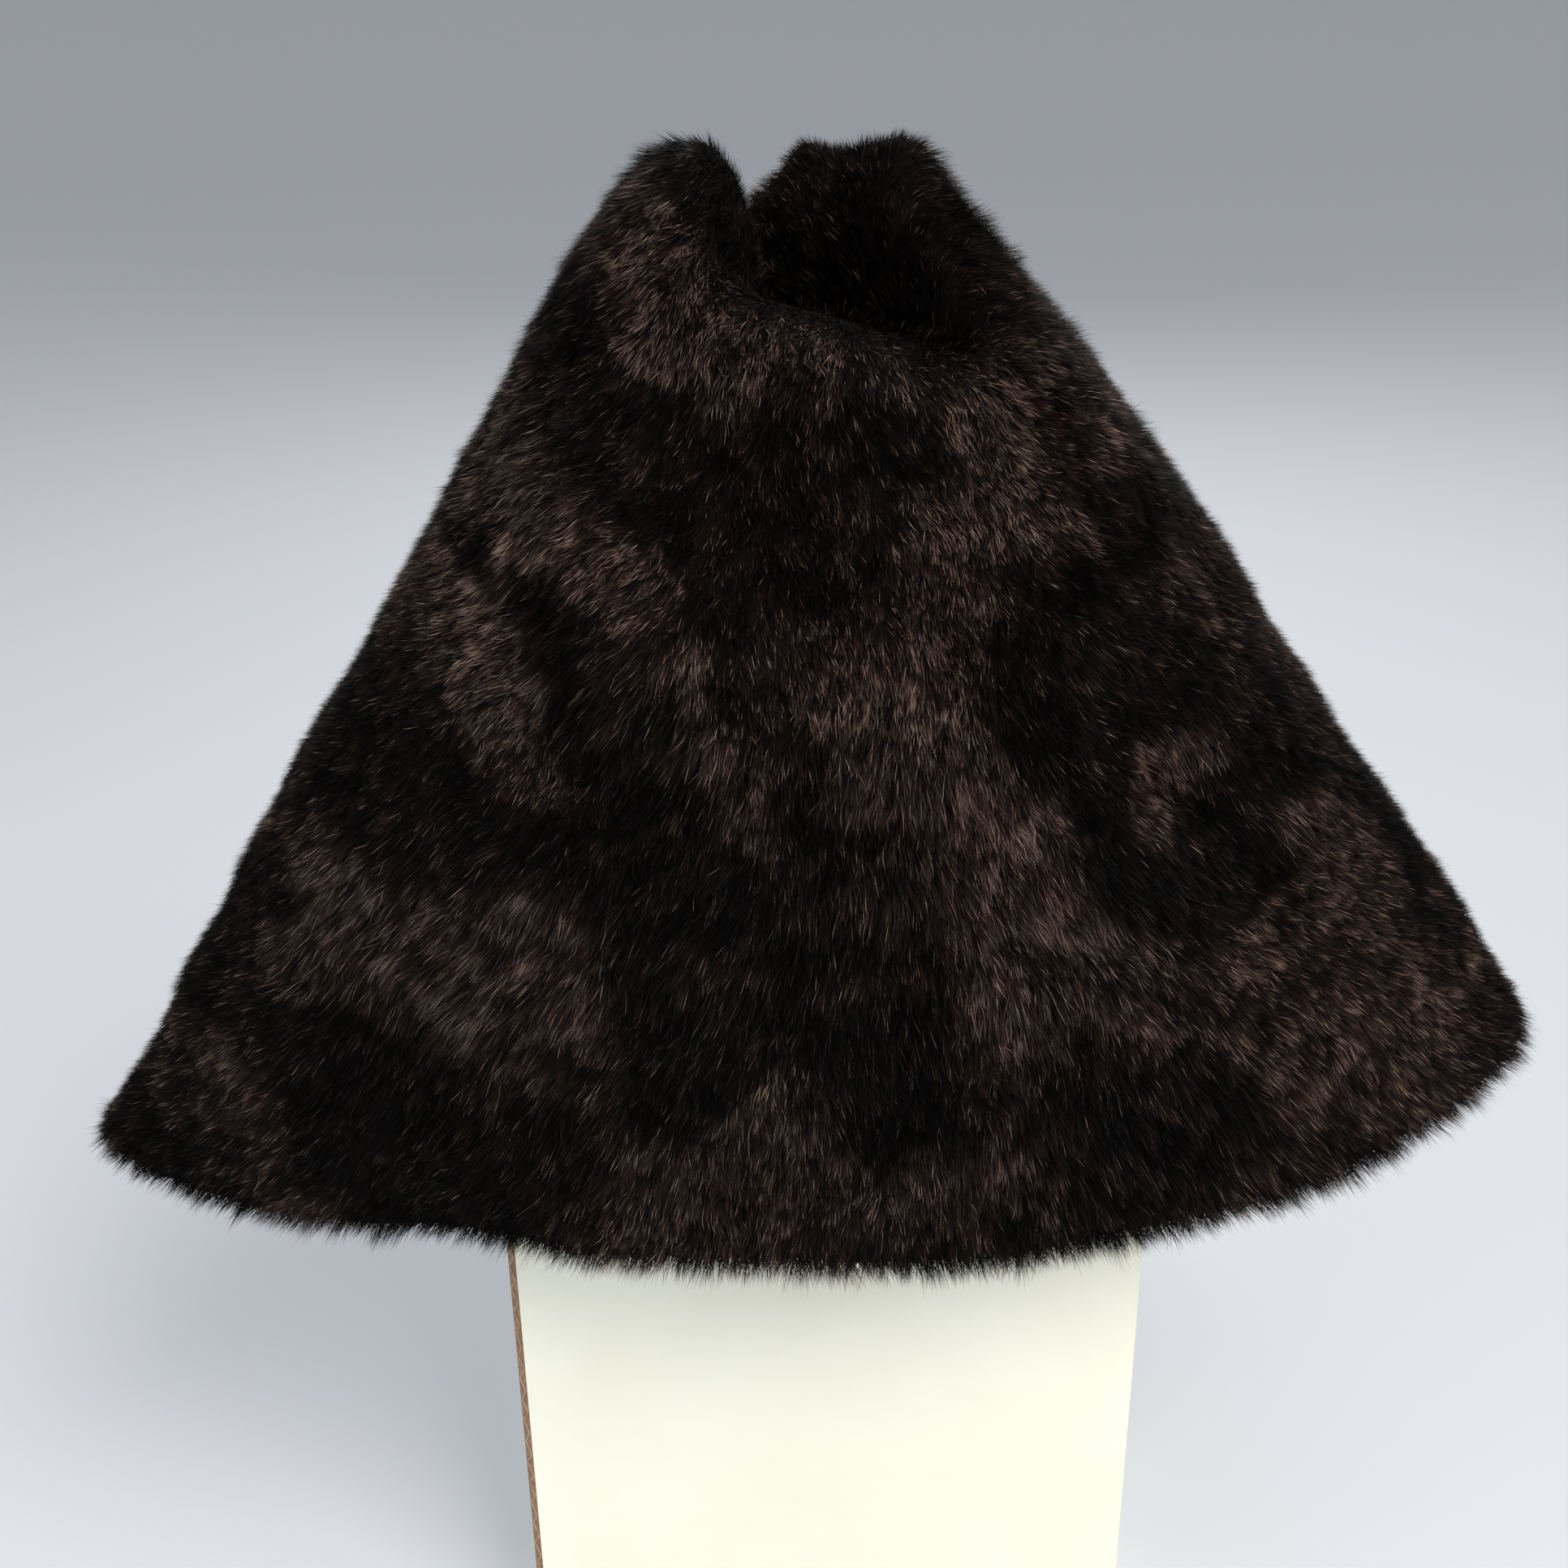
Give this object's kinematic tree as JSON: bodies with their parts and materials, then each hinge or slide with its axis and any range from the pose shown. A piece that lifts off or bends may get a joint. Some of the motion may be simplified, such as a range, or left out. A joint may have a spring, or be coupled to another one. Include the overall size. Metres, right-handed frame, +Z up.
{
  "type": "fur hat on a carton stand",
  "caption": "Steep flared fur hat without brim or band, tip pushed down into itself, pulled over a plain upright white carton that holds it up",
  "frame": {"origin": "middle of the carton's flat base, on the surface that it stands on", "axes": "+Z up, -Y towards the hat's front, +X to the right seen from the front"},
  "size_m": [0.3335, 0.1262, 0.3719],
  "materials": {
    "pelt": "matt, suede side inwards",
    "fur": "dense short pile, near black with brown tips",
    "white_board": "smooth white liner, brown raw edge"
  },
  "bodies": {
    "root": {"hat_wall": "pelt", "fur_coat": "fur", "carton_stand": "white_board"}
  },
  "joints": []
}
